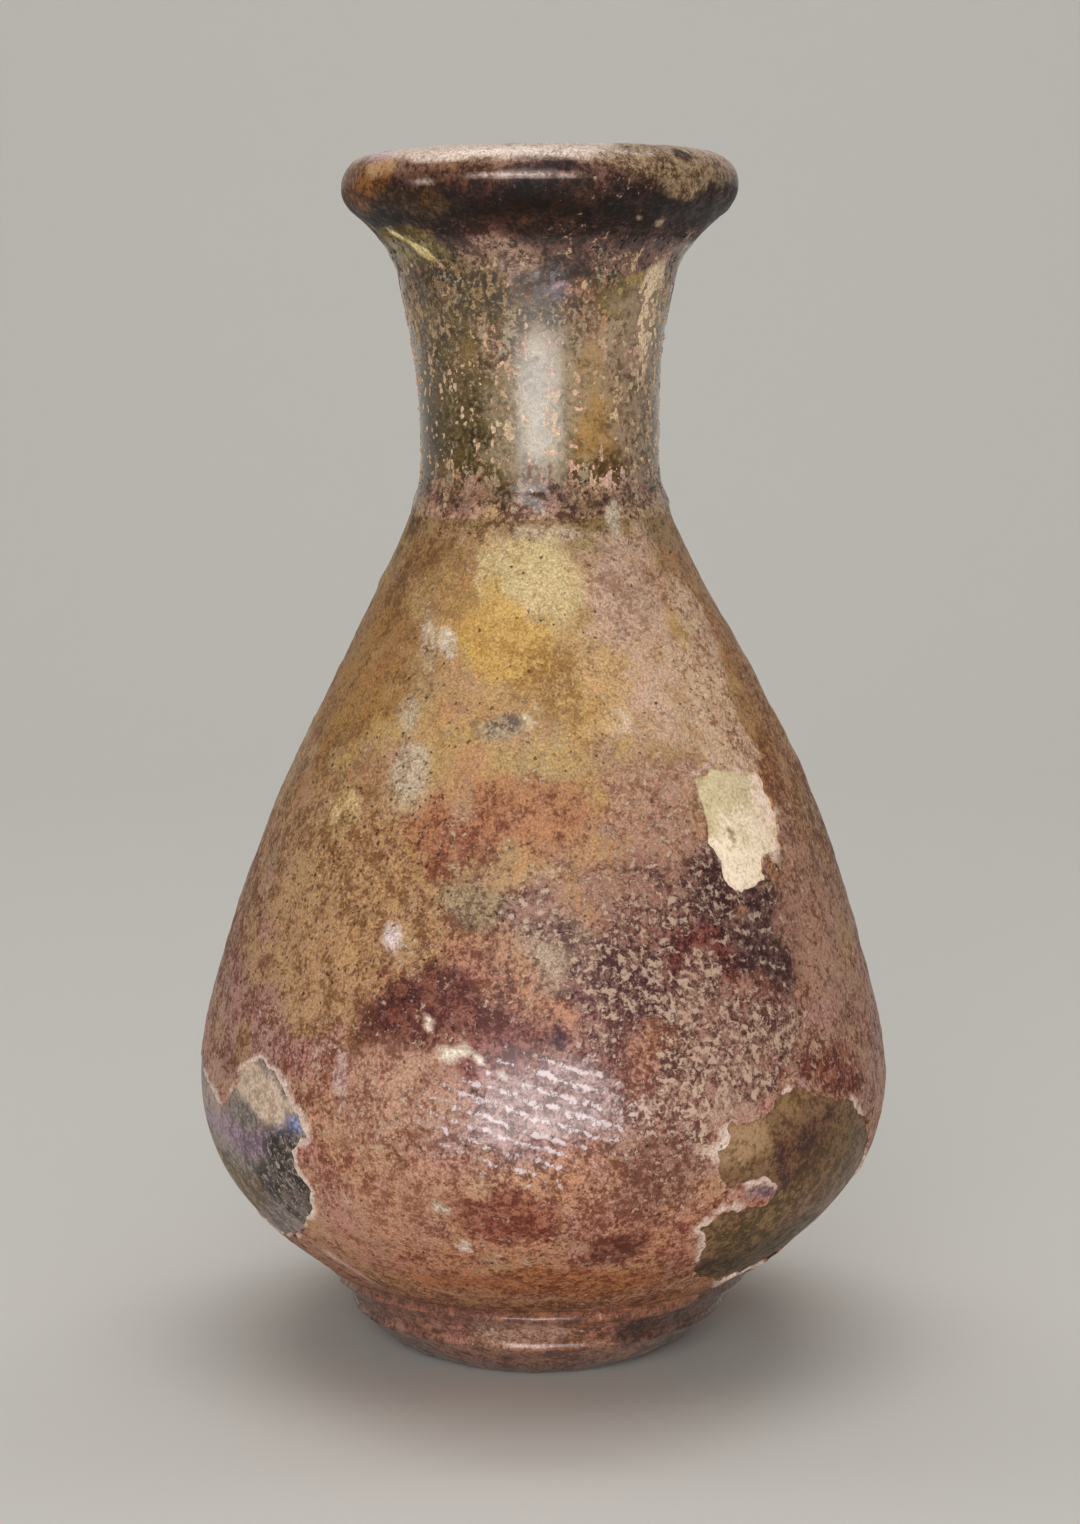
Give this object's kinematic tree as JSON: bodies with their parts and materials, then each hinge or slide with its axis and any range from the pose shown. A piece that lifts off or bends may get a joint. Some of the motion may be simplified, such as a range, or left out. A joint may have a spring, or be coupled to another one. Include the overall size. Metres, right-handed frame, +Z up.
{
  "type": "glass bottle",
  "caption": "Ancient blown glass bottle with a pear-shaped body, a low pushed-in foot, a funnel neck and a thick folded lip, hollow and empty, under a weathering crust.",
  "frame": {"origin": "on the surface that the bottle stands on, under the middle of its belly", "axes": "+Z up along the neck, -Y towards the side that the picture shows, +X to the right as seen there"},
  "size_m": [0.0726, 0.0726, 0.125],
  "materials": {
    "weathered_glass": "olive-amber blown glass under a mottled brown and pink weathering crust, flaked away in patches"
  },
  "bodies": {
    "root": {"bottle": "weathered_glass"}
  },
  "joints": []
}
